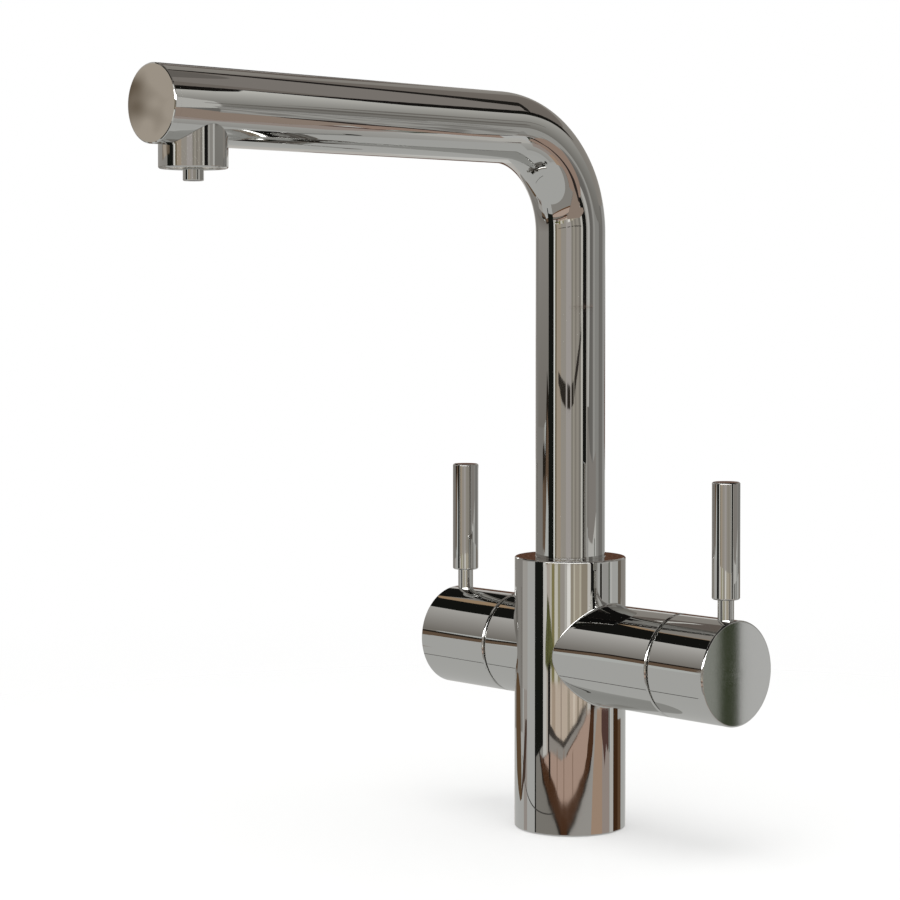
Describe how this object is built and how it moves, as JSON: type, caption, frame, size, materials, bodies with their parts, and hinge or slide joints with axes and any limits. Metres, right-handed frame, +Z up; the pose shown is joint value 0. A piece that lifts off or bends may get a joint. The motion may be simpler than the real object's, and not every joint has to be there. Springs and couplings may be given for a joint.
{
  "type": "three way filtered water tap",
  "caption": "Chrome kitchen tap with a swivelling spout, a hot and cold lever on one side, a filtered water lever on the other, and an outlet with a ring and a centre nozzle.",
  "frame": {"origin": "centre of the base face, on the worktop", "axes": "+Z up along the body, -Y along the spout's arm towards the outlet, +X along the barrel of the filtered water lever"},
  "size_m": [0.173, 0.255, 0.3273],
  "materials": {
    "polished_chrome": "polished brass, nickel and chrome plated",
    "turned_brass": "turned, unplated",
    "stainless_steel": "turned or stamped",
    "acetal": "moulded, slightly waxy",
    "cartridge_plastic": "moulded",
    "ceramic": "lapped alumina ceramic",
    "rubber": "moulded EPDM",
    "silicone": "extruded, milky"
  },
  "bodies": {
    "tap_body": {"body": "polished_chrome", "inlet_block": "turned_brass", "inlet_seals": "rubber", "inlet_block_screws": "stainless_steel", "base_seal": "rubber", "retaining_screw": "stainless_steel", "upper_slide_ring": "acetal", "lower_slide_ring": "acetal", "hose_barb": "turned_brass", "mixer_cartridge_base": "cartridge_plastic", "mixer_port_seals": "rubber", "mixer_fixed_disc": "ceramic", "mixer_cartridge_shell": "cartridge_plastic", "mixer_cartridge_nut": "turned_brass", "mixer_slide_ring": "acetal", "filter_valve_body": "turned_brass", "filter_valve_seal": "rubber", "filter_fixed_disc": "ceramic", "filter_slide_ring": "acetal"},
    "spout": {"spout_tube": "polished_chrome", "spout_foot": "turned_brass", "spout_seals": "rubber", "spout_end_cap": "polished_chrome", "outlet_housing": "polished_chrome", "aerator_carrier": "acetal", "aerator_screen": "stainless_steel", "aerator_washer": "rubber", "filter_nozzle": "polished_chrome", "filter_hose": "silicone"},
    "mixer_lever": {"mixer_turning_disc": "ceramic", "mixer_spindle": "turned_brass", "mixer_spindle_seal": "rubber", "mixer_spindle_clip": "stainless_steel", "mixer_cap": "polished_chrome", "mixer_cap_screw": "stainless_steel", "mixer_lever_rod": "polished_chrome", "mixer_lever_grip": "polished_chrome"},
    "filter_lever": {"filter_turning_disc": "ceramic", "filter_spindle": "turned_brass", "filter_spindle_seal": "rubber", "filter_spindle_clip": "stainless_steel", "filter_cap": "polished_chrome", "filter_cap_screw": "stainless_steel", "filter_lever_rod": "polished_chrome", "filter_lever_grip": "polished_chrome"}
  },
  "joints": [
    {"name": "spout_swivel", "type": "hinge", "parent": "tap_body", "child": "spout", "pos_m": [0, 0, 0.085], "axis": [0, 0, 1], "range_deg": [-75, 75]},
    {"name": "mixer_turn", "type": "hinge", "parent": "tap_body", "child": "mixer_lever", "pos_m": [-0.047, 0, 0.07925], "axis": [1, 0, 0], "range_deg": [0, 100]},
    {"name": "filter_turn", "type": "hinge", "parent": "tap_body", "child": "filter_lever", "pos_m": [0.065, 0, 0.07925], "axis": [1, 0, 0], "range_deg": [0, 90]}
  ]
}
